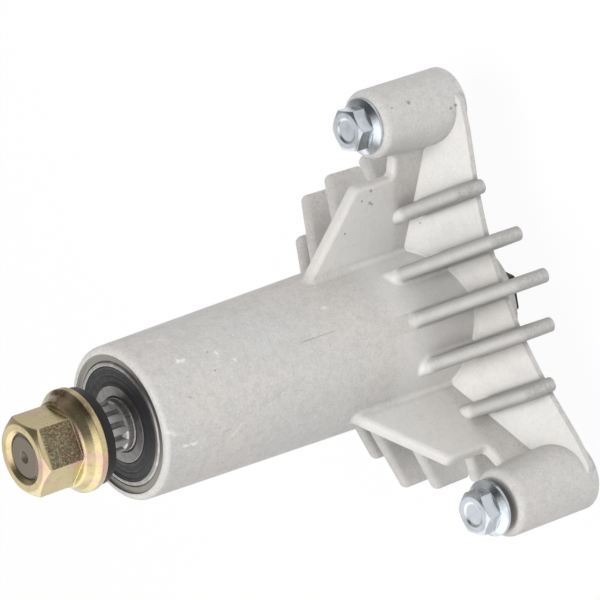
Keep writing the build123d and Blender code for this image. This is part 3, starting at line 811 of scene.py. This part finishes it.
class SPINDLE_OT_bearings(Operator):
    """Give the rings, balls and cages of both bearings their steel and plastic"""

    bl_idname = "spindle.bearings"
    bl_label = "Bearing finish"

    def execute(self, context):
        paint(["upper_outer_ring", "upper_inner_ring", "lower_outer_ring", "lower_inner_ring"],
              ring_finish(context.scene.spindle_colours))
        paint(["upper_balls", "lower_balls"], ball_finish())
        paint(["upper_cage", "lower_cage"], cage_finish())
        return {"FINISHED"}


class SPINDLE_OT_bolts(Operator):
    """Give the three deck bolts their bright zinc"""

    bl_idname = "spindle.bolts"
    bl_label = "Bolt finish"

    def execute(self, context):
        paint(["deck_bolt_a", "deck_bolt_b", "deck_bolt_c"], bolt_finish(context.scene.spindle_colours))
        return {"FINISHED"}


def add_floor(size, place):
    """A paper floor that seems white, to the camera and in the metal, and casts soft light on the part."""
    deselect()
    bpy.ops.mesh.primitive_plane_add(size=size, location=(0, 0, 0))
    floor = bpy.context.object
    floor.name = floor.data.name = "studio_floor"
    bpy.ops.object.mode_set(mode="EDIT")
    bpy.ops.mesh.select_all(action="SELECT")
    bpy.ops.mesh.subdivide(number_cuts=3)
    bpy.ops.transform.translate(value=place)
    bpy.ops.object.mode_set(mode="OBJECT")
    white = bpy.data.materials.new("studio_white")
    nodes = Nodes(white)
    output = nodes.add("ShaderNodeOutputMaterial")
    paper = nodes.add("ShaderNodeBsdfDiffuse")
    paper.inputs["Color"].default_value = PAPER_WHITE
    glow = nodes.light("ShaderNodeEmission", 1.0)
    rays = nodes.add("ShaderNodeLightPath").outputs
    seen = nodes.most(rays["Is Camera Ray"], rays["Is Glossy Ray"], rays["Is Transmission Ray"])
    surface = nodes.mix_shaders(nodes.times(seen, PAPER_GLOW), paper.outputs[0], glow)
    nodes.link(surface, output.inputs["Surface"])
    floor.data.materials.append(white)


def add_camera(scene, lens):
    """The camera at the photograph's angle."""
    camera = bpy.data.objects.new("studio_camera", bpy.data.cameras.new("studio_camera"))
    scene.collection.objects.link(camera)
    placed = Matrix((CAMERA_RIGHT, CAMERA_UP, -CAMERA_FORWARD)).transposed().to_4x4()
    placed.translation = CAMERA_PLACE
    camera.matrix_world = placed
    camera.data.sensor_width = SENSOR_WIDTH
    camera.data.lens = lens
    camera.data.clip_start, camera.data.clip_end = 0.05, 50.0
    scene.camera = camera


def add_lamp(scene, name, place, size, power, middle):
    """A round lamp at a place measured from the middle of the object, turned toward it."""
    lamp = bpy.data.lights.new(name, "AREA")
    lamp.shape = "DISK"
    lamp.size = size
    lamp.energy = power
    holder = bpy.data.objects.new(name, lamp)
    scene.collection.objects.link(holder)
    holder.location = middle + Vector(place)
    holder.visible_glossy = False
    holder.rotation_mode = "QUATERNION"
    holder.rotation_quaternion = (middle - holder.location).to_track_quat("-Z", "Y")


def make_room(scene, strength):
    """A white room: light from all round, white to the camera, and its own brightness where the metal mirrors it."""
    scene.world = bpy.data.worlds.new("white_room")
    nodes = Nodes(scene.world)
    output = nodes.add("ShaderNodeOutputWorld")
    rays = nodes.add("ShaderNodeLightPath").outputs
    direction = nodes.add("ShaderNodeTexCoord").outputs["Generated"]
    split = nodes.add("ShaderNodeSeparateXYZ")
    nodes.link(direction, split.inputs[0])
    along_x = split.outputs["X"]
    # less light from the picture's top and foot, so that round things darken toward their outline
    even = nodes.ramp(nodes.math("ABSOLUTE", along_x), 0.0, 1.0, strength * 1.25, strength * 0.5, "LINEAR")
    # what the metal mirrors: a white sweep behind the object, a dim room behind the camera
    toward = nodes.vector("DOT_PRODUCT", direction, CAMERA_FORWARD).outputs["Value"]
    dim = nodes.ramp(toward, -0.45, 0.40, 0.12, 1.08)
    # darker toward the picture's top, lighter toward its foot
    sides = nodes.ramp(along_x, -0.6, 0.7, 1.5, 0.38)
    # the key lamp as a soft patch
    lamp_side = nodes.vector("DOT_PRODUCT", direction, MIRRORED_LAMP).outputs["Value"]
    patch = nodes.ramp(lamp_side, 0.50, 0.95, 0.0, MIRRORED_LAMP_STRENGTH)
    lit = nodes.light("ShaderNodeBackground", even)
    mirrored = nodes.light("ShaderNodeBackground", nodes.plus(nodes.times(dim, sides), patch))
    white = nodes.light("ShaderNodeBackground", 1.0)
    seen = nodes.most(rays["Is Camera Ray"], rays["Is Transmission Ray"])
    surface = nodes.mix_shaders(seen, nodes.mix_shaders(rays["Is Glossy Ray"], lit, mirrored), white)
    nodes.link(surface, output.inputs["Surface"])


class SPINDLE_OT_studio(Operator):
    """Set up the floor, the lamps, the white room and the camera"""

    bl_idname = "spindle.studio"
    bl_label = "Studio"

    def execute(self, context):
        scene = context.scene
        studio = scene.spindle_studio
        low, high = CAD_BOX
        middle = (low + high) / 2
        add_floor(studio.floor_size, (middle.x, middle.y, low.z))
        add_camera(scene, studio.lens)
        add_lamp(scene, "key_lamp", KEY_LAMP_PLACE, KEY_LAMP_SIZE, studio.key_power, middle)
        add_lamp(scene, "fill_lamp", FILL_LAMP_PLACE, FILL_LAMP_SIZE, studio.fill_power, middle)
        make_room(scene, studio.room_light)
        scene.view_settings.view_transform = "Standard"
        if scene.camera is None:
            raise RuntimeError("the camera is missing")
        return {"FINISHED"}


class SPINDLE_PT_sidebar(Panel):
    """Sizes, colours and steps of the mower deck spindle"""

    bl_idname = "SPINDLE_PT_sidebar"
    bl_label = "Mower deck spindle"
    bl_space_type = "VIEW_3D"
    bl_region_type = "UI"
    bl_category = "Spindle"

    def draw(self, context):
        layout = self.layout
        for title, group in (("Seals", context.scene.spindle_seal), ("Colours", context.scene.spindle_colours),
                             ("Studio", context.scene.spindle_studio)):
            box = layout.box()
            box.label(text=title)
            for name in group.bl_rna.properties.keys():
                if name not in ("rna_type", "name"):
                    box.prop(group, name)
        for step in STEPS:
            layout.operator(step.bl_idname)


GROUPS = (SpindleSealSizes, SpindleColours, SpindleStudio)
STEPS = (SPINDLE_OT_casting, SPINDLE_OT_shaft, SPINDLE_OT_nut_and_washer, SPINDLE_OT_bearings, SPINDLE_OT_bolts,
         SPINDLE_OT_seal_details, SPINDLE_OT_studio)


def register():
    for item in GROUPS + STEPS + (SPINDLE_PT_sidebar,):
        bpy.utils.register_class(item)
    bpy.types.Scene.spindle_seal = PointerProperty(type=SpindleSealSizes)
    bpy.types.Scene.spindle_colours = PointerProperty(type=SpindleColours)
    bpy.types.Scene.spindle_studio = PointerProperty(type=SpindleStudio)


def unregister():
    del bpy.types.Scene.spindle_studio
    del bpy.types.Scene.spindle_colours
    del bpy.types.Scene.spindle_seal
    for item in reversed(GROUPS + STEPS + (SPINDLE_PT_sidebar,)):
        bpy.utils.unregister_class(item)


def main():
    register()
    deselect()
    bpy.ops.spindle.casting()
    bpy.ops.spindle.shaft()
    bpy.ops.spindle.nut_and_washer()
    bpy.ops.spindle.bearings()
    bpy.ops.spindle.bolts()
    bpy.ops.spindle.seal_details()
    bpy.ops.spindle.studio()


if __name__ == "__main__":
    main()
